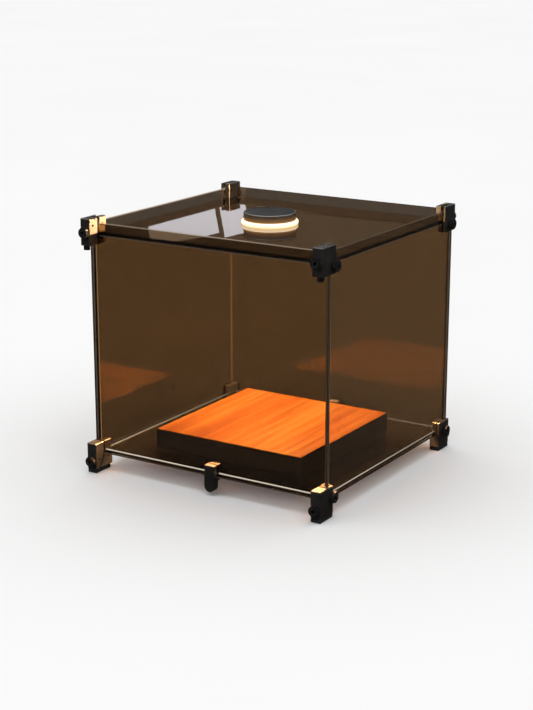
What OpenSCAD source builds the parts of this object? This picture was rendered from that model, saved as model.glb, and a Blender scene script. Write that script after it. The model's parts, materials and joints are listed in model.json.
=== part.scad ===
// Display case: six acrylic panels held by corner blocks, with a puck lamp on
// the lid and a wooden plinth inside.
// The origin is on the ground under the middle of the whole, thumb screws
// included. +X is to the right, -Y to the front and +Z up. Millimetres.

/* [Case] */
// Width over the front wall
case_w = 300; // [240:1:400]
// Depth over the front and back walls
case_d = 283; // [240:1:400]
// Height of the four walls
wall_h = 264; // [180:1:360]
// Thickness of every acrylic panel
panel_t = 4; // [3:0.5:4.5]
// Height of the walls' lower edge above the ground
leg_h = 20.5; // [19:0.5:26]
// Depth of the lid's upper face below the walls' upper edge
lid_drop = 10.5; // [10:0.5:12]

/* [Corner blocks] */
// How far a block stands out beyond a side wall
side_out = 2.5; // [2:0.5:5]
// How far a front block stands out in front of the front wall
front_out = 14; // [13:0.5:16]
// How far a back block stands out behind the back wall
back_out = 2.5; // [2:0.5:6]
// How far a block reaches inwards along the front or back wall
block_in_x = 10; // [10:0.5:14]
// How far a front block's outer jaw reaches back along the side wall
block_in_y = 12.5; // [12.5:0.5:14]
// How far a front block's inner jaw reaches back along the side wall
jaw_in_y = 16; // [15:0.5:20]
// How far both jaws of a back block reach forwards along the side wall
back_in_y = 22; // [20:0.5:24]
// Height of a block
block_h = 30; // [28:0.5:32]
// How far a top block stands above the walls
top_rise = 6.5; // [6:0.5:8]
// Width of the chamfer on a block's outer edges
block_chamfer = 0.7; // [0.3:0.1:1]

/* [Thumb screws] */
// Diameter of a knurled head
head_d = 12; // [10:0.5:13]
// Length of a knurled head
head_len = 4.5; // [4:0.5:8]
// Thread diameter
thread_d = 4; // [3:0.5:4]
// Number of ridges on a head
knurl_count = 28; // [16:1:40]

/* [Lamp] */
// Diameter of the glowing ring
lamp_d = 64; // [62:1:90]
// Diameter of the metal housing
housing_d = 59; // [59:1:62]
// Height of the glowing ring
lamp_ring_h = 4.5; // [4.5:0.5:10]
// Height of the metal housing above the ring
housing_h = 9; // [9:0.5:16]
// Lamp centre, to the right of the case's middle
lamp_x = -10; // [-40:1:40]
// Lamp centre, behind the case's middle
lamp_y = 5; // [-40:1:40]

/* [Plinth] */
// Width and depth of the plinth
plinth_w = 190; // [120:1:200]
// Height of the plinth with its pads
plinth_h = 24; // [16:1:60]
// Plinth centre, to the right of the case's middle
plinth_x = 4; // [-10:1:10]
// Plinth centre, behind the case's middle
plinth_y = -10; // [-10:1:10]

/* [Hidden] */
SIDES = ["left", "right"];
ENDS = ["front", "back"];
LEVELS = ["bottom", "top"];

half_w = case_w / 2;
half_d = case_d / 2;
wall_top = leg_h + wall_h;
case_y = (front_out - back_out) / 2;        // the case's middle, behind the origin
far = 400;                                  // longer than any panel's share of a block
over = 1;                                   // how far a cutter overshoots

// Gaps between the panels
web_y = 3;                                  // metal between an end wall and a side wall
side_start = panel_t + web_y;               // from an end wall's outer face to a side wall
lid_gap = 0.6;                              // round the lid
lid_top = wall_top - lid_drop;
lid_z = lid_top - panel_t;
floor_top = leg_h + panel_t;

// Corner blocks: heights above the ground
bottom_z = 4.5;                             // a bottom block stands on its foot cap
top_z = wall_top + top_rise - block_h;
groove_w = 1;                               // grooves across a block's upper face
groove_depth = 2;
front_grooves = [-9.6, -4.9, 8.6];          // behind the end wall's outer face
back_grooves = [8.6, 14.6];
ledge_out = 6;                              // shelf under the lid
ledge_t = 3;
foot_relief = 0.3;                          // foot cap set back from its block
foot_chamfer = 0.5;

// Screws
running = 0.05;                             // radial clearance round a thumb screw
thread_r = thread_d / 2;
head_gap = 0.5;                             // bare thread under a head
tip_gap = 0.1;                              // between a screw's tip and a panel
head_core = 0.5;                            // the head's plain ends are this much smaller
head_rim = 0.6;                             // and this long
ridge_depth = 0.35;
socket_d = 4.6;                             // across the corners of a hex socket
socket_depth = 2.5;
side_screw_y = side_start + thread_r + 0.2; // from an end wall's outer face
end_screw_x = 4;                            // end wall's screw, in from the wall's end
side_screw_dz = [2.5, -15];                 // from the walls' lower and upper edge
end_screw_dz = [-6.5, -8.7];
front_blind = 12;                           // hole depths under the walls
back_blind = 8;
grub_r = 1.5;
grub_len = 3;
grub_recess = 0.6;
grub_socket_depth = 1.4;
front_grub_y = [-8, 9];                     // one in each jaw
back_grub_y = [9, 17];
grub_dz = [-5.5, -1.5];                     // from the walls' lower and upper edge
under_r = 1.5;
under_len = 8;
under_head_r = 3.6;
under_head_h = 5;
under_socket_d = 3.4;
under_socket_depth = 2;
under_at = [2.5, -9.5];                     // from the end of the front wall

// Edge clamps
clamp_w = 12.4;
clamp_out = 6;
clamp_in = 10;
clamp_lift = -16;                           // lower end, from the walls' lower edge
clamp_top = 14;                             // upper face, from the walls' lower edge
clamp_shift = [8, 0];                       // front and back clamp, right of the middle
clamp_shelf = 4;                            // metal under the floor panel
clamp_chamfer = 0.5;
clamp_grub_r = 1;
clamp_grub_y = (side_start + clamp_in) / 2 + 0.2;
clamp_grub_short = 0.5;                     // below the floor panel

// Lamp
lens_t = 1.5;                               // opal face under the lamp
ring_wall = 4;                              // from the housing's face to the ring's inside
ring_foot = [1.5, 1.2];                     // bevel round the ring's lower edge
ring_lip = 1;                               // bevel round its upper edge
housing_wall = 3;
housing_rim = 1.4;                          // wall beside the cover disc
cover_t = 1.6;
cover_inset = 0.4;                          // below the housing's rim
cover_gap = 0.1;
port_z = 2.5;                               // middle of the openings in the housing
port_depth = 7;
led_count = 12;
led_ring_r = 22;
led_size = [3, 2.8, 0.8];
board_t = 1.2;
board_drop = 0.5;                           // below the ring's upper face
cell_size = [34, 22, 5];
cell_at = [-14, -9, 0.4];
cell_chamfer = 0.8;
charge_size = [7, 18, 0.7];
charge_in = 12.4;                           // from the housing's face
charge_z = 0.2;
button_angle = 205;                         // degrees from +X, towards the front left
usb_angle = 225;
button_size = [3.6, 5, 2.2];
button_gap = 0.2;
button_proud = 0.5;                         // beyond the housing's face
button_chamfer = 0.3;
switch_size = [3, 4, 3.2];
switch_in = 6.9;
usb_size = [6.6, 8.7, 3.2];
usb_in = 6.8;
usb_shell = 0.4;
usb_hole_w = 8.9;

// Plinth
pad_t = 1.5;
pad_r = 7;
pad_in = 14;                                // pad centres, from the plinth's edges
wood_t = 3;
wood_border = 0.8;
core_chamfer = 0.5;
core_h = plinth_h - pad_t;

PANEL_TINT = [0.35, 0.24, 0.14, 0.35];
METAL = [0.05, 0.05, 0.055];
SCREW = [0.1, 0.1, 0.1];

// ---- helpers ----

// Puts a shape made for the front left corner at any of the four corners.
module at_corner(end, side) {
    right = side == "right";
    back = end == "back";
    translate([right ? half_w : -half_w, case_y + (back ? half_d : -half_d), 0])
        mirror([right ? 1 : 0, 0, 0])
            mirror([0, back ? 1 : 0, 0])
                children();
}

// Square outline with its four corners cut off.
module cut_rect(w, h, c) {
    polygon([[c, 0], [w - c, 0], [w, c], [w, h - c], [w - c, h], [c, h], [0, h - c], [0, c]]);
}

// Box from the origin with every edge chamfered.
module chamfered(size, c) {
    intersection() {
        linear_extrude(size[2]) cut_rect(size[0], size[1], c);
        translate([0, size[1], 0]) rotate([90, 0, 0])
            linear_extrude(size[1]) cut_rect(size[0], size[2], c);
        rotate([90, 0, 90])
            linear_extrude(size[0]) cut_rect(size[1], size[2], c);
    }
}

module disc(r, h, z = 0) {
    translate([0, 0, z]) cylinder(r = r, h = h, $fn = 64);
}

// ---- acrylic panels ----

module end_wall(end) {
    y = end == "front" ? -half_d : half_d - panel_t;
    color(PANEL_TINT) translate([-half_w, case_y + y, leg_h]) cube([case_w, panel_t, wall_h]);
}

module side_wall(side) {
    x = side == "left" ? -half_w : half_w - panel_t;
    color(PANEL_TINT) translate([x, case_y - half_d + side_start, leg_h])
        cube([panel_t, case_d - 2 * side_start, wall_h]);
}

module floor_panel() {
    color(PANEL_TINT) translate([-half_w + side_start, case_y - half_d + side_start, leg_h])
        cube([case_w - 2 * side_start, case_d - 2 * side_start, panel_t]);
}

// The lid drops between the walls; its corners clear the inner jaws.
module top_panel() {
    inset = panel_t + lid_gap;
    w = case_w - 2 * inset;
    d = case_d - 2 * inset;
    color(PANEL_TINT) difference() {
        translate([-w / 2, case_y - d / 2, lid_z]) cube([w, d, panel_t]);
        for (end = ENDS, side = SIDES)
            at_corner(end, side)
                translate([-over, -over, lid_z - over])
                    cube([
                        block_in_x + lid_gap + over,
                        jaw_reach(end) + lid_gap + over,
                        panel_t + 2 * over
                    ]);
    }
}

// ---- corner blocks, made for the front left corner ----

function stand_out(end) = end == "front" ? front_out : back_out;
function block_reach(end) = end == "front" ? block_in_y : back_in_y;
function jaw_reach(end) = end == "front" ? jaw_in_y : back_in_y;
function grub_places(end) = end == "front" ? front_grub_y : back_grub_y;

// Depth of the end wall's screw hole: blind under the wall, through to it above.
function end_hole_depth(end, level) =
    level == "top" ? stand_out(end) : end == "front" ? front_blind : back_blind;

// The walls' edge that a screw's height is measured from.
function wall_edge(level) = level == "top" ? wall_top : leg_h;
function level_index(level) = level == "top" ? 1 : 0;

module block_body(end, z) {
    c = block_chamfer;
    out = stand_out(end);
    jaw = jaw_reach(end);
    union() {
        translate([-side_out, -out, z])
            chamfered([side_out + block_in_x, out + block_reach(end), block_h], c);
        if (jaw > block_reach(end))
            translate([panel_t, panel_t, z])
                chamfered([block_in_x - panel_t, jaw - panel_t, block_h], c);
    }
}

// Grooves across the upper face, between the jaws' ribs.
module block_grooves(end, top) {
    for (y = end == "front" ? front_grooves : back_grooves)
        translate([-side_out - over, y, top - groove_depth])
            cube([side_out + block_in_x + 2 * over, groove_w, groove_depth + over]);
}

// Slots for the end wall and the side wall: open above, and through a top block.
module wall_slots(level) {
    z = level == "top" ? top_z - over : leg_h;
    translate([0, 0, z]) cube([far, panel_t, far]);
    translate([0, side_start, z]) cube([panel_t, far, far]);
}

module side_screw_hole(z) {
    translate([-side_out - over, side_screw_y, z]) rotate([0, 90, 0])
        cylinder(r = thread_r + running, h = side_out + over + tip_gap, $fn = 48);
}

module end_screw_hole(out, z, depth) {
    translate([end_screw_x, -out - over, z]) rotate([-90, 0, 0])
        cylinder(r = thread_r + running, h = depth + over, $fn = 48);
}

module at_grubs(end, level) {
    for (y = grub_places(end))
        translate([block_in_x - grub_recess - grub_len, y, wall_edge(level) + grub_dz[level_index(level)]])
            rotate([0, 90, 0])
                children();
}

// Everything cut from a block but the room for the floor panel and the under screw.
module block_cuts(end, level, z) {
    i = level_index(level);
    edge = wall_edge(level);
    block_grooves(end, z + block_h);
    wall_slots(level);
    side_screw_hole(edge + side_screw_dz[i]);
    end_screw_hole(stand_out(end), edge + end_screw_dz[i], end_hole_depth(end, level));
    at_grubs(end, level) cylinder(r = grub_r, h = grub_len + grub_recess + over, $fn = 32);
}

module bottom_block(end) {
    color(METAL) difference() {
        block_body(end, bottom_z);
        block_cuts(end, "bottom", bottom_z);
        translate([side_start, side_start, leg_h]) cube([far, far, panel_t]);
    }
}

module top_block(end) {
    color(METAL) difference() {
        union() {
            block_body(end, top_z);
            translate([block_in_x - over, panel_t, lid_z - ledge_t])
                cube([ledge_out + over, jaw_reach(end) - panel_t, ledge_t]);
        }
        block_cuts(end, "top", top_z);
        if (end == "front")
            translate([under_at[0], under_at[1], top_z - over])
                cylinder(r = under_r, h = under_len + over, $fn = 32);
    }
}

module corner_block(level, end, side) {
    at_corner(end, side)
        if (level == "bottom") bottom_block(end);
        else top_block(end);
}

module foot_caps() {
    color([0.03, 0.03, 0.03]) for (end = ENDS, side = SIDES)
        at_corner(end, side)
            translate([-side_out + foot_relief, -stand_out(end) + foot_relief, 0])
                chamfered([
                    side_out + block_in_x - 2 * foot_relief,
                    stand_out(end) + block_reach(end) - 2 * foot_relief,
                    bottom_z
                ], foot_chamfer);
}

// ---- screws ----

// Knurled thumb screw: the head's outer face is at the origin and the shank runs along +Z.
module thumb_screw(shank) {
    r = head_d / 2;
    step = 360 / knurl_count;
    ridges = [for (i = [0:knurl_count - 1], k = [0, 1])
        let (a = (i + k / 2) * step, q = r - k * ridge_depth) [q * cos(a), q * sin(a)]];
    color([0.08, 0.08, 0.085]) union() {
        difference() {
            union() {
                disc(r - head_core, head_len);
                translate([0, 0, head_rim]) linear_extrude(head_len - 2 * head_rim) polygon(ridges);
            }
            translate([0, 0, -over]) cylinder(d = socket_d, h = socket_depth + over, $fn = 6);
        }
        disc(thread_r, shank, head_len);
    }
}

// Thumb screw of the front or back wall.
module end_thumb(end, level, side) {
    out = stand_out(end);
    z = wall_edge(level) + end_screw_dz[level_index(level)];
    at_corner(end, side)
        translate([end_screw_x, -out - head_gap - head_len, z])
            rotate([-90, 0, 0])
                thumb_screw(head_gap + end_hole_depth(end, level) - tip_gap);
}

// Thumb screw of the left or right wall.
module side_thumb(side, level, end) {
    z = wall_edge(level) + side_screw_dz[level_index(level)];
    at_corner(end, side)
        translate([-side_out - head_gap - head_len, side_screw_y, z])
            rotate([0, 90, 0])
                thumb_screw(head_gap + side_out - tip_gap);
}

module grub_screws() {
    color(SCREW) for (end = ENDS, side = SIDES, level = LEVELS)
        at_corner(end, side)
            at_grubs(end, level)
                difference() {
                    cylinder(r = grub_r, h = grub_len, $fn = 32);
                    translate([0, 0, grub_len - grub_socket_depth])
                        cylinder(r = grub_r / 2, h = grub_socket_depth + over, $fn = 6);
                }
}

module under_screws() {
    color(SCREW) for (side = SIDES)
        at_corner("front", side)
            translate([under_at[0], under_at[1], top_z - under_head_h])
                difference() {
                    union() {
                        disc(under_head_r, under_head_h);
                        disc(under_r, under_len, under_head_h);
                    }
                    translate([0, 0, -over])
                        cylinder(d = under_socket_d, h = under_socket_depth + over, $fn = 6);
                }
}

// ---- edge clamps, made for the front wall with the outer face at y = 0 ----

module clamp_tongue() {
    r = clamp_w / 2;
    translate([0, panel_t / 2, leg_h + clamp_lift + r]) rotate([90, 0, 0])
        cylinder(r = r, h = clamp_out + panel_t / 2, $fn = 64);
    translate([-r, -clamp_out, leg_h + clamp_lift + r])
        cube([clamp_w, clamp_out + panel_t / 2, -clamp_lift - r]);
}

module clamp_body() {
    color(METAL) difference() {
        union() {
            clamp_tongue();
            translate([-clamp_w / 2, -clamp_out, leg_h - clamp_shelf])
                chamfered([clamp_w, clamp_out + clamp_in, clamp_top + clamp_shelf], clamp_chamfer);
        }
        translate([-far / 2, 0, leg_h]) cube([far, panel_t, far]);
        translate([-far / 2, side_start, leg_h]) cube([far, far, panel_t]);
        translate([0, clamp_grub_y, leg_h - clamp_shelf - over])
            cylinder(r = clamp_grub_r, h = clamp_shelf + over, $fn = 32);
    }
}

module at_clamp(end) {
    if (end == "front") translate([clamp_shift[0], case_y - half_d, 0]) children();
    else translate([clamp_shift[1], case_y + half_d, 0]) mirror([0, 1, 0]) children();
}

module mid_clamp_grubs() {
    color(SCREW) for (end = ENDS)
        at_clamp(end)
            translate([0, clamp_grub_y, leg_h - clamp_shelf])
                cylinder(r = clamp_grub_r, h = clamp_shelf - clamp_grub_short, $fn = 32);
}

// ---- puck lamp, on the lid ----

module at_lamp(z = 0) {
    translate([lamp_x, case_y + lamp_y, lid_top + z]) children();
}

housing_z = lamp_ring_h;
housing_r = housing_d / 2;
cover_z = housing_h - cover_inset - cover_t;
board_z = lamp_ring_h - board_drop - board_t;

// A box on the housing's face, centred at an angle.
module port(angle, w, h) {
    rotate([0, 0, angle])
        translate([housing_r - port_depth, -w / 2, port_z - h / 2])
            cube([port_depth + over, w, h]);
}

module lamp_diffuser() {
    r = lamp_d / 2;
    inner = housing_r - ring_wall;
    color([1, 0.86, 0.62]) at_lamp() rotate_extrude($fn = 96)
        polygon([
            [0, 0], [r - ring_foot[0], 0], [r, ring_foot[1]],
            [r, lamp_ring_h - ring_lip], [r - ring_lip, lamp_ring_h],
            [inner, lamp_ring_h], [inner, lens_t], [0, lens_t]
        ]);
}

module lamp_housing() {
    r = housing_r;
    inner = r - housing_wall;
    seat = r - housing_rim;
    color([0.75, 0.75, 0.76]) at_lamp(housing_z) difference() {
        rotate_extrude($fn = 96)
            polygon([
                [inner, 0], [r, 0], [r, housing_h - cover_inset], [r - cover_inset, housing_h],
                [seat, housing_h], [seat, cover_z], [inner, cover_z]
            ]);
        port(usb_angle, usb_hole_w, usb_size[2]);
        port(button_angle, button_size[1] + 2 * button_gap, button_size[2] + 2 * button_gap);
    }
}

module lamp_top() {
    color([0.16, 0.16, 0.17]) at_lamp(housing_z)
        translate([0, 0, cover_z])
            cylinder(r = housing_r - housing_rim - cover_gap, h = cover_t, $fn = 96);
}

module lamp_led_board() {
    color([0.9, 0.9, 0.88]) at_lamp(board_z) disc(housing_r - ring_wall - cover_gap, board_t);
}

module lamp_leds() {
    color([1, 0.9, 0.5]) at_lamp(board_z - led_size[2])
        for (i = [0:led_count - 1])
            rotate([0, 0, i * 360 / led_count])
                translate([led_ring_r - led_size[0] / 2, -led_size[1] / 2, 0]) cube(led_size);
}

module lamp_battery() {
    color([0.55, 0.6, 0.65]) at_lamp(housing_z)
        translate(cell_at) chamfered(cell_size, cell_chamfer);
}

module lamp_charge_board() {
    color([0.05, 0.3, 0.15]) at_lamp(housing_z) rotate([0, 0, (usb_angle + button_angle) / 2])
        translate([housing_r - charge_in, -charge_size[1] / 2, charge_z]) cube(charge_size);
}

// The part's middle is level with the openings in the housing.
module behind_port(angle, inwards, size) {
    at_lamp(housing_z) rotate([0, 0, angle])
        translate([housing_r - inwards, -size[1] / 2, port_z - size[2] / 2])
            children();
}

module lamp_usb_socket() {
    color([0.7, 0.7, 0.7]) behind_port(usb_angle, usb_in, usb_size)
        difference() {
            cube(usb_size);
            translate([4 * usb_shell, usb_shell, usb_shell])
                cube([usb_size[0], usb_size[1] - 2 * usb_shell, usb_size[2] - 2 * usb_shell]);
        }
}

module lamp_switch() {
    color(SCREW) behind_port(button_angle, switch_in, switch_size) cube(switch_size);
}

module lamp_button() {
    color([0.12, 0.12, 0.12])
        behind_port(button_angle, button_size[0] - button_proud, button_size)
            chamfered(button_size, button_chamfer);
}

// ---- plinth ----

module at_plinth(z = 0) {
    translate([plinth_x, case_y + plinth_y, floor_top + z]) children();
}

module plinth_core() {
    half = plinth_w / 2;
    wood_w = plinth_w - 2 * wood_border;
    color([0.03, 0.03, 0.03]) at_plinth(pad_t) difference() {
        translate([-half, -half, 0]) chamfered([plinth_w, plinth_w, core_h], core_chamfer);
        translate([-wood_w / 2, -wood_w / 2, core_h - wood_t]) cube([wood_w, wood_w, wood_t + over]);
    }
}

module plinth_top() {
    wood_w = plinth_w - 2 * wood_border;
    color([0.75, 0.35, 0.12]) at_plinth(plinth_h - wood_t)
        translate([-wood_w / 2, -wood_w / 2, 0]) cube([wood_w, wood_w, wood_t]);
}

module plinth_pads() {
    reach = plinth_w / 2 - pad_in;
    color([0.2, 0.2, 0.2]) at_plinth()
        for (sx = [-1, 1], sy = [-1, 1])
            translate([sx * reach, sy * reach, 0]) disc(pad_r, pad_t);
}

// ---- nodes ----

for (end = ENDS)
    end_wall(end);
for (side = SIDES)
    side_wall(side);
for (level = LEVELS, end = ENDS, side = SIDES)
    corner_block(level, end, side);
for (end = ENDS, level = LEVELS, side = SIDES)
    end_thumb(end, level, side);
for (side = SIDES, level = LEVELS, end = ENDS)
    side_thumb(side, level, end);
for (end = ENDS)
    at_clamp(end) clamp_body();
floor_panel();
top_panel();
foot_caps();
grub_screws();
under_screws();
mid_clamp_grubs();
lamp_housing();
lamp_top();
lamp_diffuser();
lamp_led_board();
lamp_leds();
lamp_battery();
lamp_charge_board();
lamp_usb_socket();
lamp_switch();
lamp_button();
plinth_core();
plinth_top();
plinth_pads();
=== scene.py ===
"""Looks of the display case: materials, rounded edges, lights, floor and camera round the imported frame.

Lengths are in metres, as in the frame, and places come from the frame's boxes.
"""
import json
import math

import bpy
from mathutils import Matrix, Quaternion, Vector


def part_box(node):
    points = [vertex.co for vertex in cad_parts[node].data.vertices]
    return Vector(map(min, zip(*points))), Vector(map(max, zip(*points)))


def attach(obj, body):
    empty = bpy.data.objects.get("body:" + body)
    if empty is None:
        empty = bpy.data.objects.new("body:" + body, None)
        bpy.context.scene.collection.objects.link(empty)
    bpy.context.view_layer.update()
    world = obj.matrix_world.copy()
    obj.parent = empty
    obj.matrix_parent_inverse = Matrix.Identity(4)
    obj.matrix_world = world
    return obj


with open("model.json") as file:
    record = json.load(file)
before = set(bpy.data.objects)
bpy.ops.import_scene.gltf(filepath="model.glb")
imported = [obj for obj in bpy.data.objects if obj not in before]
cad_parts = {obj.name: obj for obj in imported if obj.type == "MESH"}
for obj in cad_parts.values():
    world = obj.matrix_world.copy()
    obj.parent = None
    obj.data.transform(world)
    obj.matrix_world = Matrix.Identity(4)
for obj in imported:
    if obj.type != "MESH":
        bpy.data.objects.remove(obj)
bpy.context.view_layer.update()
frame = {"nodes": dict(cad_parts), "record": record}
nodes = frame["nodes"]

MM = 0.001

# Camera
AZIMUTH = 32.19
ELEVATION = 15.49
DISTANCE = 1.827
LENS_MM = 81.34
AIM = (-0.005, -0.00425, 0.1247)
CLIP = (0.05, 100.0)

# Floor and sky
FLOOR_HALF = 40.0
SKY_HORIZON = 0.04
SKY_ZENITH = 1.70
SKY_FADE = (0.25, 0.9)          # where it starts to brighten and is brightest: 0 is level, 1 straight up
SKY_IN_GLOSS = 0.45             # how bright the same sky is in reflections
BACKDROP = 0.94                 # how bright it is past the floor's far end

# Lamp
WARM = (1.0, 0.60, 0.30)
GLINT = (1.0, 0.72, 0.48)
# ORANGE is the colour of the painted glow on the lamp housing's foot
ORANGE = (1.0, 0.42, 0.08)
LAMP_RING_W = 2.3
RING_SOFT = 4 * MM              # the light's radius, small enough to stay above the lid
LAMP_DOWN_W = 5.7
LAMP_GLINT_W = 24.0             # shines on the lower blocks only
UNDER_LID = 1 * MM              # how far under the lid the down and glint lights are
OPAL_GLOW = 1.5
HOUSING_GLOW = 0.22             # painted glow: emission for the ring's light on the foot of the housing
HOUSING_GLOW_TOP = 0.7          # where it ends, as a share of the housing's height

# Panes of light mirrored in the lid: where on the lid, as shares of its width and depth, and how wide
WINDOWS = {"window_left": (0.20, 0.30, 132 * MM), "window_right": (0.315, 0.50, 50 * MM)}
WINDOW_TALL = 58 * MM
WINDOW_FAR = 1.3                # from the lid to the panes
WINDOW_GLOW = 1.35              # per unit of a pane's area
WINDOW_COLOUR = (0.93, 0.92, 1.0)
WINDOW_LEAN_DEG = 10

# Acrylic sheets. axis: the axis across the sheet. rims: which rims of its sawn edges carry painted glow, an
# emission
# that stands in for lamp light. glow: how much painted glow, at its low end (left or front) and at its high
# end (right or back).
# on_top: how much painted glow on its top edge. alone: which of its parts, besides its foot, stand past the
# sheets next to it and are painted dark.
PANELS = {
    "front_wall": {"axis": "Y", "rims": "both", "glow": (0.13, 0.13), "on_top": 0.30, "alone": ("left",)},
    "back_wall": {"axis": "Y", "rims": "both", "glow": (2.2, 0.15), "alone": ("top", "right")},
    "left_wall": {"axis": "X", "rims": "inner", "glow": (1.3, 1.7), "on_top": 0.45, "alone": ("top",)},
    "right_wall": {"axis": "X", "rims": "both", "glow": (0.13, 0.13), "on_top": 0.05},
    "floor_panel": {"axis": "Z", "rims": "upper", "glow": (4.0, 1.5)},
    "top_panel": {"axis": "Z", "rims": "lower", "glow": (0.40, 0.40)},
}
PANEL_TINT = (0.27, 0.185, 0.105)
PANEL_SHADE = (0.60, 0.50, 0.39)        # tint of the light that falls through a sheet
GRAZING_SHADE = (0.01, 0.008, 0.006)    # the same at a grazing angle
GRAZING = (0.75, 0.93)                  # where one shade turns into the other, as Layer Weight's Facing
PAINTED_DARK_TINT = (0.075, 0.055, 0.038)       # painted shade: tint of a wall's foot, of the band beside the lid and of the parts that stand alone
PAINTED_DARK_FOOT = (1.2 * MM, 1.6 * MM)        # how high a wall's painted dark foot starts to fade, and has gone
PAINTED_DARK_END = (5 * MM, 6 * MM)             # the same, in from a painted dark end
PAINTED_SHADE_BAND = (2 * MM, 1.5 * MM)           # foot and top of the painted shade band beside the lid, over the lid's lower and upper face

# Painted glow on the sawn edges: emission that stands in for lamp light carried along the acrylic
RIM_FADES = {                   # how far from its rim a line of painted glow starts to fade and has gone
    "both": (0.25 * MM, 0.6 * MM),
    "inner": (0.9 * MM, 1.4 * MM),
    "upper": (0.8 * MM, 2.0 * MM),
    "lower": (0.5 * MM, 0.9 * MM),
}
# colours of the painted glow on the sawn edges: on the walls, and on the floor and top panels
RIM_WARM = (1.0, 0.80, 0.60)
RIM_WHITE = (0.80, 1.0, 1.45)   # looks nearly white through a smoked wall
RIM_FOOT = 0.1                  # the painted glow of a wall's edge at its foot
RIM_FOOT_FADE = (0.5 * MM, 2 * MM)
GLOW_INSET = 1 * MM             # the painted glow changes from end to end of a sheet, but for this much at each
WHOLE_END = 1.4                 # past this painted glow a whole end shines, but only as seen through the sheet
FAR_END_GAIN = 2.0              # painted glow of the floor panel's whole ends, seen through the sheet, against their rims

NOISE_MIDDLE = (0.3, 0.7)       # most of a noise texture's values lie between these
EDGE_POINTINESS = (0.52, 0.62)  # from a barely convex surface to a sharp edge
WOOD_TURN_DEG = 4


# ---- node helpers ----

class Tree:
    """The node tree of a material or world, with short calls for the nodes used here."""

    def __init__(self, owner, output):
        owner.use_nodes = True
        self.owner = owner
        self.tree = owner.node_tree
        self.tree.nodes.clear()
        self.output = self.node(output)

    def node(self, kind, **settings):
        made = self.tree.nodes.new("ShaderNode" + kind)
        for key, value in settings.items():
            setattr(made, key, value)
        return made

    def link(self, source, target):
        self.tree.links.new(source, target)

    def put(self, socket, value):
        """Links a socket to its source, or stores a plain value in it."""
        if isinstance(value, bpy.types.NodeSocket):
            self.link(value, socket)
        else:
            socket.default_value = value

    def fill(self, made, values):
        """Puts values in a node's sockets by name."""
        for key, value in values.items():
            self.put(made.inputs[key], value)
        return made

    def coords(self, scale=(1, 1, 1), rotation=(0, 0, 0)):
        """Object coordinates, in metres, scaled and turned."""
        source = self.node("TexCoord").outputs["Object"]
        mapping = self.fill(self.node("Mapping"), {"Vector": source, "Rotation": rotation, "Scale": scale})
        return mapping.outputs["Vector"]

    def parts(self, kind):
        """The X, Y and Z outputs of a kind of texture coordinates, such as Object or Normal."""
        split = self.node("SeparateXYZ")
        self.link(self.node("TexCoord").outputs[kind], split.inputs[0])
        return split.outputs

    def noise(self, scale, detail=4.0, vector=None, roughness=0.5, distortion=0.0):
        values = {"Scale": scale, "Detail": detail, "Roughness": roughness, "Distortion": distortion}
        values["Vector"] = vector or self.coords()
        return self.fill(self.node("TexNoise"), values).outputs["Fac"]

    def ramp(self, factor, stops):
        made = self.node("ValToRGB")
        points = made.color_ramp.elements
        while len(points) < len(stops):
            points.new(0.5)
        for point, (place, colour) in zip(points, stops):
            point.position = place
            point.color = (*colour, 1.0)
        self.link(factor, made.inputs["Fac"])
        return made.outputs["Color"]

    def tones(self, noise, low_colour, high_colour, places=NOISE_MIDDLE):
        """Turns a noise into two colours that blend between two of its values."""
        return self.ramp(noise, list(zip(places, (low_colour, high_colour))))

    def span(self, value, low, high, to_low=0.0, to_high=1.0, kind="LINEAR"):
        """Maps a value from one range to another, kept inside it."""
        made = self.node("MapRange", clamp=True, interpolation_type=kind)
        keys = ("Value", "From Min", "From Max", "To Min", "To Max")
        self.fill(made, dict(zip(keys, (value, low, high, to_low, to_high))))
        return made.outputs["Result"]

    def spread(self, noise, low, high):
        """Maps the middle of a noise to another range."""
        return self.span(noise, *NOISE_MIDDLE, low, high)

    def math(self, operation, a, b=0.0):
        made = self.node("Math", operation=operation)
        for socket, value in zip(made.inputs, (a, b)):
            self.put(socket, value)
        return made.outputs[0]

    def mix(self, factor, a, b):
        """Mixes two colours."""
        made = self.node("Mix", data_type="RGBA")
        slots = (made.inputs[0], made.inputs[6], made.inputs[7])
        for socket, value in zip(slots, (factor, a, b)):
            self.put(socket, (*value, 1.0) if isinstance(value, tuple) else value)
        return made.outputs[2]

    def bump(self, height, strength, distance):
        values = {"Height": height, "Strength": strength, "Distance": distance}
        return self.fill(self.node("Bump"), values).outputs["Normal"]

    def principled(self, **values):
        """A Principled shader: socket names have underscores for spaces, and a colour is three numbers."""
        sockets = {key.replace("_", " "): value for key, value in values.items()}
        for key, value in sockets.items():
            if isinstance(value, tuple):
                sockets[key] = (*value, 1.0)
        return self.fill(self.node("BsdfPrincipled"), sockets).outputs["BSDF"]

    def mix_shader(self, factor, a, b):
        made = self.node("MixShader")
        for socket, source in zip(made.inputs, (factor, a, b)):
            self.link(source, socket)
        return made.outputs[0]

    def done(self, shader):
        self.link(shader, self.output.inputs["Surface"])
        return self.owner


def material_tree(name):
    return Tree(bpy.data.materials.new(name), "OutputMaterial")


def edge_wear(t, amount):
    """Up to amount on convex edges, broken up by noise, and 0 elsewhere."""
    pointy = t.node("NewGeometry").outputs["Pointiness"]
    edge = t.span(pointy, *EDGE_POINTINESS)
    return t.math("MULTIPLY", edge, t.span(t.noise(900, 3), 0.4, 0.7, 0.0, amount))


# ---- acrylic ----

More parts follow.
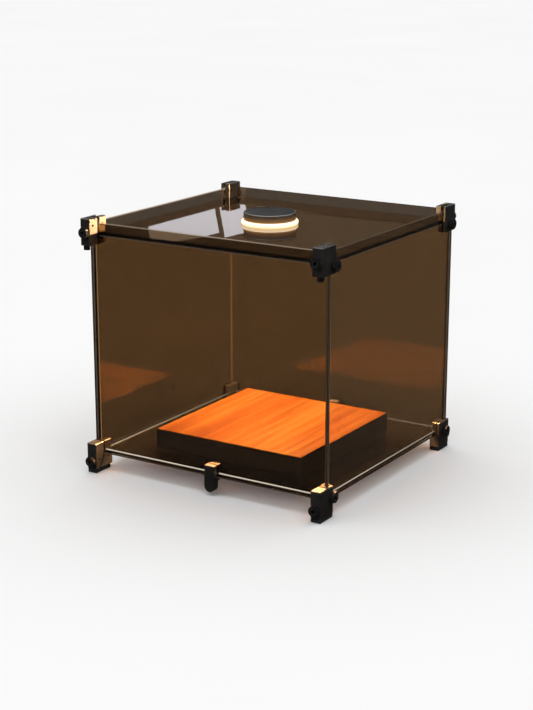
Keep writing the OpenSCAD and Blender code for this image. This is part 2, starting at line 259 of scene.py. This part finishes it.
def painted_rim_glow(t, panel, axis, rims, glow, on_top):
    """Painted glow: emission strength in thin lines along the chosen rims of a sheet's sawn edges, standing
    in for lamp light carried by the sheet; whole ends glow brighter as seen from inside the sheet.
    """
    low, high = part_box(panel)
    along = "X" if axis == "Y" else "Y"
    i, j = "XYZ".index(axis), "XYZ".index(along)
    place = t.parts("Object")
    from_inside = t.node("NewGeometry").outputs["Backfacing"]
    strength = t.span(place[along], low[j] + GLOW_INSET, high[j] - GLOW_INSET, *glow)
    from_low = t.math("SUBTRACT", place[axis], low[i])
    from_high = t.math("SUBTRACT", high[i], place[axis])
    from_rim = from_low if rims == "lower" else from_high
    if rims == "both":
        from_rim = t.math("MINIMUM", from_low, from_high)
    line = t.span(from_rim, *RIM_FADES[rims], 1.0, 0.0)
    if rims == "upper":
        line = t.span(from_inside, 0.0, 1.0, line, FAR_END_GAIN)
    if axis == "Z":
        return t.math("MULTIPLY", line, strength)
    whole = t.math("MULTIPLY", t.math("GREATER_THAN", strength, WHOLE_END), from_inside)
    line = t.math("MAXIMUM", line, whole)
    held = t.math("MINIMUM", strength, WHOLE_END)
    strength = t.span(from_inside, 0.0, 1.0, held, strength)
    above_foot = t.span(place["Z"], low.z + RIM_FOOT_FADE[0], low.z + RIM_FOOT_FADE[1])
    upright = t.math("MULTIPLY", line, t.span(above_foot, 0.0, 1.0, RIM_FOOT, strength))
    is_top = t.math("GREATER_THAN", t.parts("Normal")["Z"], 0.5)
    return t.span(is_top, 0.0, 1.0, upright, on_top)


def painted_dark_parts(t, panel, alone):
    """Mask of painted shade: 1 on a wall's foot, on the band beside the lid and on the parts that stand
    alone, and 0 elsewhere.
    """
    low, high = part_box(panel)
    lid_low, lid_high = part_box("top_panel")
    place = t.parts("Object")
    dark = t.span(place["Z"], low.z + PAINTED_DARK_FOOT[0], low.z + PAINTED_DARK_FOOT[1], 1.0, 0.0)
    over_band_low = t.math("GREATER_THAN", place["Z"], lid_low.z + PAINTED_SHADE_BAND[0])
    under_band_high = t.math("LESS_THAN", place["Z"], lid_high.z + PAINTED_SHADE_BAND[1])
    dark = t.math("MAXIMUM", dark, t.math("MULTIPLY", over_band_low, under_band_high))
    if "top" in alone:
        dark = t.math("MAXIMUM", dark, t.span(place["Z"], lid_low.z, lid_high.z))
    for end, gap in (("left", (place["X"], low.x)), ("right", (high.x, place["X"]))):
        if end in alone:
            from_end = t.math("SUBTRACT", *gap)
            dark = t.math("MAXIMUM", dark, t.span(from_end, *PAINTED_DARK_END, 1.0, 0.0))
    return dark


def acrylic(panel, axis, rims, glow, on_top=0.0, alone=()):
    """Brown smoked sheet: polished faces with painted shade on a wall's foot, beside the lid and where it
    stands alone, and dark sawn edges whose rims carry painted glow for the lamp's light.
    """
    t = material_tree("acrylic_" + panel)
    is_wall = axis != "Z"
    smear = t.noise(18, 5, roughness=0.6)
    dust = t.noise(1400, 2)
    face = t.principled(
        # painted shade: a wall's tint turns nearly black on its foot, beside the lid and where it stands
        # alone
        Base_Color=t.mix(painted_dark_parts(t, panel, alone), PANEL_TINT, PAINTED_DARK_TINT) if is_wall else PANEL_TINT,
        Roughness=t.math("ADD", t.span(smear, 0.45, 0.8, 0.0, 0.03), t.span(dust, 0.78, 0.85, 0.0, 0.05)),
        IOR=1.49,
        Transmission_Weight=1.0,
        Normal=t.bump(t.noise(9, 1), 0.05, 2 * MM),
    )
    grazing = t.span(t.node("LayerWeight").outputs["Facing"], *GRAZING)
    shade = t.mix(grazing, PANEL_SHADE, GRAZING_SHADE)
    clear = t.fill(t.node("BsdfTransparent"), {"Color": shade}).outputs[0]
    path = t.node("LightPath").outputs
    straight = t.math("MAXIMUM", path["Is Shadow Ray"], path["Is Diffuse Ray"])
    sheet = t.mix_shader(straight, face, clear)

    saw = t.noise(1.0, 3, t.coords((900, 900, 900)))
    # painted glow: emission on the sawn edges standing in for the lamp's light carried by the sheet
    rim = painted_rim_glow(t, panel, axis, rims, glow, on_top)
    edge = t.principled(
        Base_Color=t.tones(saw, (0.020, 0.011, 0.005), (0.045, 0.025, 0.011)),
        Specular_Tint=(0.95, 0.62, 0.36),
        Roughness=t.spread(saw, 0.12, 0.3),
        Emission_Color=RIM_WARM if is_wall else RIM_WHITE,
        Emission_Strength=t.math("MULTIPLY", rim, t.spread(saw, 0.7, 1.0)),
        Normal=t.bump(saw, 0.25, 0.2 * MM),
    )
    is_edge = t.math("LESS_THAN", t.math("ABSOLUTE", t.parts("Normal")[axis]), 0.5)
    return t.done(t.mix_shader(is_edge, sheet, edge))


# ---- other materials ----

def black_metal():
    """Bead blasted dark aluminium: nearly black until it catches a lamp, and rubbed bright on its edges."""
    t = material_tree("black_metal")
    grain = t.noise(2600, 2)
    cloud = t.noise(60, 4)
    colour = t.tones(cloud, (0.17, 0.157, 0.14), (0.24, 0.222, 0.20))
    return t.done(t.principled(
        Base_Color=t.mix(edge_wear(t, 0.5), colour, (0.45, 0.42, 0.38)),
        Metallic=1.0,
        Roughness=t.math("ADD", t.spread(cloud, 0.40, 0.48), t.spread(grain, -0.04, 0.06)),
        Normal=t.bump(grain, 0.18, 0.1 * MM),
    ))


def knob_metal():
    """Black oxide steel of the knurled heads, brighter on the ridges."""
    t = material_tree("knob_metal")
    grain = t.noise(3000, 2)
    return t.done(t.principled(
        Base_Color=t.mix(edge_wear(t, 0.9), (0.022, 0.021, 0.022), (0.22, 0.21, 0.20)),
        Metallic=0.75,
        Roughness=t.spread(grain, 0.2, 0.36),
        Normal=t.bump(grain, 0.15, 0.1 * MM),
    ))


def dark_steel():
    """Black oxide steel of the small screws."""
    t = material_tree("dark_steel")
    grain = t.noise(2200, 3)
    return t.done(t.principled(
        Base_Color=t.tones(grain, (0.02, 0.02, 0.021), (0.06, 0.058, 0.056), (0.3, 0.75)),
        Metallic=0.85,
        Roughness=t.spread(grain, 0.3, 0.45),
        Normal=t.bump(grain, 0.15, 0.1 * MM),
    ))


def foot_rubber():
    """Matt black rubber of the foot caps."""
    t = material_tree("foot_rubber")
    grain = t.noise(1500, 4)
    return t.done(t.principled(
        Base_Color=t.tones(t.noise(90, 3), (0.010, 0.010, 0.010), (0.026, 0.025, 0.024), (0.3, 0.8)),
        Roughness=t.spread(grain, 0.6, 0.8),
        Normal=t.bump(grain, 0.4, 0.2 * MM),
    ))


def lamp_trim():
    """Satin anodised housing of the lamp, with fine turned rings and the ring's light on its foot painted
    as an orange emission.
    """
    t = material_tree("lamp_trim")
    low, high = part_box("lamp_housing")
    glow_top = low.z + HOUSING_GLOW_TOP * (high.z - low.z)
    rings = t.noise(1.0, 3, t.coords((40, 40, 9000)))
    return t.done(t.principled(
        Base_Color=t.tones(t.noise(70, 3), (0.50, 0.49, 0.49), (0.60, 0.59, 0.59)),
        Metallic=1.0,
        Roughness=t.spread(rings, 0.26, 0.38),
        Anisotropic=0.4,
        Normal=t.bump(rings, 0.12, 0.1 * MM),
        # painted glow: orange emission near the foot, fading upwards, standing in for the ring's light
        Emission_Color=ORANGE,
        Emission_Strength=t.span(t.parts("Object")["Z"], low.z, glow_top, HOUSING_GLOW, 0.0),
    ))


def lamp_shell():
    """Dark grey moulded disc with a fine spark-eroded texture and faint handling marks."""
    t = material_tree("lamp_shell")
    texture = t.noise(2400, 2)
    marks = t.noise(1.0, 5, t.coords((60, 240, 60), (0, 0, 0.6)))
    return t.done(t.principled(
        Base_Color=t.tones(marks, (0.016, 0.016, 0.017), (0.045, 0.044, 0.045), (0.35, 0.75)),
        Roughness=t.math("ADD", t.span(marks, 0.4, 0.8, 0.34, 0.5), t.spread(texture, -0.03, 0.03)),
        Specular_IOR_Level=0.6,
        Normal=t.bump(texture, 0.25, 0.1 * MM),
    ))


def lamp_glow():
    """Opal diffuser, lit unevenly from inside."""
    t = material_tree("lamp_glow")
    uneven = t.noise(60, 2)
    return t.done(t.principled(
        Base_Color=(0.9, 0.86, 0.78),
        Roughness=t.spread(uneven, 0.3, 0.4),
        Emission_Color=t.tones(uneven, (1.0, 0.70, 0.36), (1.0, 0.77, 0.44)),
        Emission_Strength=OPAL_GLOW,
    ))


def oiled_wood():
    """Oiled straight-grained top board: long streaks, pores and a soft sheen."""
    t = material_tree("oiled_wood")
    turn = (0, 0, math.radians(WOOD_TURN_DEG))
    wander = t.noise(1.0, 3, t.coords((34, 4, 34), turn))
    streaks = t.noise(1.0, 5, t.coords((110, 4, 110), turn), 0.6, 0.6)
    fibres = t.noise(1.0, 4, t.coords((1500, 38, 1500), turn), 0.7)
    pores = t.span(t.noise(1.0, 2, t.coords((2600, 120, 2600), turn)), 0.62, 0.72)
    colour = t.ramp(streaks, [
        (0.36, (0.26, 0.066, 0.012)), (0.46, (0.45, 0.165, 0.030)),
        (0.54, (0.57, 0.270, 0.058)), (0.64, (0.72, 0.430, 0.135)),
    ])
    colour = t.mix(t.span(wander, 0.42, 0.6, 0.0, 0.6), colour, (0.34, 0.105, 0.020))
    colour = t.mix(t.span(fibres, 0.35, 0.75, 0.0, 0.35), colour, (0.72, 0.36, 0.12))
    colour = t.mix(t.math("MULTIPLY", pores, 0.5), colour, (0.16, 0.05, 0.015))
    height = t.math("SUBTRACT", t.math("MULTIPLY", fibres, 0.5), pores)
    return t.done(t.principled(
        Base_Color=colour,
        Roughness=t.spread(fibres, 0.36, 0.52),
        Coat_Weight=0.15,
        Coat_Roughness=0.3,
        Normal=t.bump(height, 0.35, 0.2 * MM),
    ))


def black_board():
    """Black lacquered board, with a faint orange-peel surface and rubbed edges."""
    t = material_tree("black_board")
    peel = t.noise(420, 3)
    cloud = t.noise(25, 4)
    colour = t.tones(cloud, (0.006, 0.005, 0.005), (0.014, 0.011, 0.009), (0.3, 0.75))
    return t.done(t.principled(
        Base_Color=t.mix(edge_wear(t, 0.4), colour, (0.09, 0.06, 0.04)),
        Roughness=t.spread(cloud, 0.32, 0.46),
        Normal=t.bump(peel, 0.12, 0.3 * MM),
    ))


def grey_felt():
    """Fuzzy felt of the plinth's pads."""
    t = material_tree("grey_felt")
    fuzz = t.noise(1800, 6, roughness=0.8)
    return t.done(t.principled(
        Base_Color=t.tones(fuzz, (0.05, 0.05, 0.05), (0.16, 0.16, 0.16), (0.3, 0.75)),
        Roughness=t.spread(fuzz, 0.85, 1.0),
        Sheen_Weight=0.4,
        Normal=t.bump(fuzz, 0.8, 0.6 * MM),
    ))


def board(name, low_colour, high_colour):
    """Solder mask over a printed board, with a hint of the copper under it."""
    t = material_tree(name)
    tracks = t.noise(260, 1, distortion=2.0)
    return t.done(t.principled(
        Base_Color=t.tones(tracks, low_colour, high_colour, (0.45, 0.55)),
        Roughness=t.span(tracks, 0.4, 0.6, 0.28, 0.4),
        Normal=t.bump(tracks, 0.2, 0.05 * MM),
    ))


def speckled(name, low_colour, high_colour, metallic, rough, scale):
    """Plain moulded, foil or phosphor surface with a fine speckle."""
    t = material_tree(name)
    speckle = t.noise(scale, 4)
    return t.done(t.principled(
        Base_Color=t.tones(speckle, low_colour, high_colour),
        Metallic=metallic,
        Roughness=t.spread(speckle, rough - 0.06, rough + 0.06),
        Normal=t.bump(speckle, 0.2, 0.1 * MM),
    ))


OWN_MATERIALS = {
    "black_metal": black_metal,
    "knob_metal": knob_metal,
    "dark_steel": dark_steel,
    "foot_rubber": foot_rubber,
    "lamp_trim": lamp_trim,
    "lamp_shell": lamp_shell,
    "lamp_glow": lamp_glow,
    "oiled_wood": oiled_wood,
    "black_board": black_board,
    "grey_felt": grey_felt,
}

# The two colours of each printed board
BOARDS = {
    "board_white": ((0.62, 0.62, 0.58), (0.72, 0.72, 0.68)),
    "board_green": ((0.010, 0.090, 0.035), (0.020, 0.140, 0.055)),
}

# Two colours, metallic, roughness and how fine the speckle is
SPECKLED = {
    "led_chip": ((0.75, 0.55, 0.12), (0.9, 0.72, 0.25), 0.0, 0.4, 3000),
    "battery_foil": ((0.38, 0.42, 0.47), (0.5, 0.54, 0.6), 0.9, 0.35, 500),
    "switch_plastic": ((0.03, 0.03, 0.033), (0.05, 0.05, 0.055), 0.0, 0.45, 2500),
}

# How far in the edges are rounded, by material slot, and how sharp an edge has to be
ROUNDING = {
    "black_metal": 0.18 * MM, "knob_metal": 0.08 * MM, "foot_rubber": 0.3 * MM, "oiled_wood": 0.3 * MM,
    "black_board": 0.25 * MM, "lamp_trim": 0.15 * MM, "lamp_shell": 0.2 * MM,
}
SHARP_DEG = 28


# ---- dressing the nodes ----

def make_material(slot):
    if slot in BOARDS:
        return board(slot, *BOARDS[slot])
    if slot in SPECKLED:
        return speckled(slot, *SPECKLED[slot])
    return OWN_MATERIALS[slot]()


def dress(obj, material):
    """Puts one material in every slot of a node."""
    if not obj.data.materials:
        obj.data.materials.append(material)
    for i in range(len(obj.data.materials)):
        obj.data.materials[i] = material


def round_edges(obj, width):
    """Rounds the sharp edges a little, so that they catch the light."""
    bevel = obj.modifiers.new("rounding", "BEVEL")
    bevel.width = width
    bevel.segments = 2
    bevel.limit_method = "ANGLE"
    bevel.angle_limit = math.radians(SHARP_DEG)
    bevel.harden_normals = True
    bevel.use_clamp_overlap = True


def dress_nodes():
    """Gives each sheet an acrylic of its own, and every other node the material of its slot."""
    made = {}
    slots = {s["node"]: s["material_slot"] for s in frame["record"]["subparts"]}
    for name, obj in nodes.items():
        if name in PANELS:
            dress(obj, acrylic(name, **PANELS[name]))
            continue
        slot = slots[name]
        if slot not in made:
            made[slot] = make_material(slot)
        dress(obj, made[slot])
        if slot in ROUNDING:
            round_edges(obj, ROUNDING[slot])


# ---- stage ----

def direction(azimuth, elevation):
    """Unit vector from the object towards a viewer at that azimuth and elevation."""
    a, e = math.radians(azimuth), math.radians(elevation)
    return Vector((math.sin(a) * math.cos(e), -math.cos(a) * math.cos(e), math.sin(e)))


def make_camera():
    data = bpy.data.cameras.new("camera")
    data.lens = LENS_MM
    data.clip_start, data.clip_end = CLIP
    cam = bpy.data.objects.new("camera", data)
    bpy.context.scene.collection.objects.link(cam)
    back = direction(AZIMUTH, ELEVATION)
    cam.location = Vector(AIM) + back * DISTANCE
    cam.rotation_mode = "QUATERNION"
    cam.rotation_quaternion = (-back).to_track_quat("-Z", "Y")
    bpy.context.scene.camera = cam


def make_floor():
    """A wide pale floor, under and behind the case."""
    mesh = bpy.data.meshes.new("floor")
    corners = [(x * FLOOR_HALF, y * FLOOR_HALF, 0) for x, y in ((-1, -1), (1, -1), (1, 1), (-1, 1))]
    mesh.from_pydata(corners, [], [(0, 1, 2, 3)])
    floor = bpy.data.objects.new("floor", mesh)
    bpy.context.scene.collection.objects.link(floor)
    t = material_tree("floor")
    tone = t.noise(1.5, 2)
    mesh.materials.append(t.done(t.principled(
        Base_Color=t.tones(tone, (0.86, 0.86, 0.86), (0.875, 0.875, 0.875)),
        Roughness=t.spread(tone, 0.85, 0.9),
        Specular_IOR_Level=0.1,
    )))
    floor.visible_glossy = False


def make_world():
    """Soft overhead light that falls off towards the horizon, with an even backdrop behind the floor."""
    t = Tree(bpy.data.worlds.new("studio"), "OutputWorld")
    path = t.node("LightPath").outputs
    sky = t.span(t.parts("Generated")["Z"], *SKY_FADE, SKY_HORIZON, SKY_ZENITH, "SMOOTHSTEP")
    sky = t.math("MULTIPLY", sky, t.span(path["Is Glossy Ray"], 0.0, 1.0, 1.0, SKY_IN_GLOSS))
    seen = t.math("MAXIMUM", path["Is Camera Ray"], path["Is Transmission Ray"])
    values = {"Color": (1, 1, 1, 1), "Strength": t.span(seen, 0.0, 1.0, sky, BACKDROP)}
    bpy.context.scene.world = t.done(t.fill(t.node("Background"), values).outputs[0])


def add_light(name, kind, place, watts, colour, **settings):
    data = bpy.data.lights.new(name, kind)
    data.energy = watts
    data.color = colour
    for key, value in settings.items():
        setattr(data, key, value)
    light = bpy.data.objects.new(name, data)
    bpy.context.scene.collection.objects.link(light)
    light.location = place
    light.visible_camera = False
    return light


def node_group(name, wanted):
    """A collection of the nodes that a light shines on, or that stand in its way."""
    group = bpy.data.collections.new(name)
    for node_name, obj in nodes.items():
        if wanted(node_name):
            group.objects.link(obj)
    return group


def make_lamp_lights():
    """The lamp's light: round its ring, down on the plinth, and a glint on the lower blocks."""
    low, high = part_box("lamp_diffuser")
    centre = (low + high) / 2
    below = (centre.x, centre.y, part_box("top_panel")[0].z - UNDER_LID)
    disk = {"shape": "DISK", "size": high.x - low.x}
    holders = ("corner_", "mid_clamp", "thumb_")
    around = node_group("round_the_lamp", lambda name: name not in PANELS and not name.startswith("lamp_"))
    inside = node_group("inside_the_case", lambda name: name.startswith("plinth"))
    lower = node_group("lower_blocks", lambda name: name.startswith(holders) and "_top_" not in name)
    in_the_way = node_group("lid_and_blocks", lambda name: name == "top_panel" or name.startswith(holders))
    ring = add_light("lamp_ring", "POINT", centre, LAMP_RING_W, WARM, shadow_soft_size=RING_SOFT)
    ring.light_linking.blocker_collection = in_the_way
    down = add_light("lamp_down", "AREA", below, LAMP_DOWN_W, WARM, **disk)
    glint = add_light("lamp_glint", "AREA", below, LAMP_GLINT_W, GLINT, **disk)
    for light, shone_on in ((down, inside), (glint, lower), (ring, around)):
        light.visible_transmission = False
        light.light_linking.receiver_collection = shone_on
        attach(light, "lamp")


def make_windows():
    """Upright panes of light behind the case, seen mirrored in the left half of the lid."""
    low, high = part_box("top_panel")
    size = high - low
    eye = Vector(AIM) + direction(AZIMUTH, ELEVATION) * DISTANCE
    for name, (across, deep, wide) in WINDOWS.items():
        spot = Vector((low.x + size.x * across, low.y + size.y * deep, high.z))
        ray = (spot - eye).normalized()
        ray.z = -ray.z
        watts = WINDOW_GLOW * math.pi * wide * WINDOW_TALL
        pane = add_light(
            name, "AREA", spot + ray * WINDOW_FAR, watts, WINDOW_COLOUR,
            shape="RECTANGLE", size=wide, size_y=WINDOW_TALL,
        )
        pane.rotation_mode = "QUATERNION"
        pane.rotation_quaternion = (-ray).to_track_quat("-Z", "Y")
        pane.rotation_quaternion @= Quaternion((0, 0, 1), math.radians(WINDOW_LEAN_DEG))
        pane.visible_diffuse = False
        pane.visible_transmission = False


dress_nodes()
make_camera()
make_floor()
make_world()
make_lamp_lights()
make_windows()
bpy.context.scene.view_settings.view_transform = "Standard"
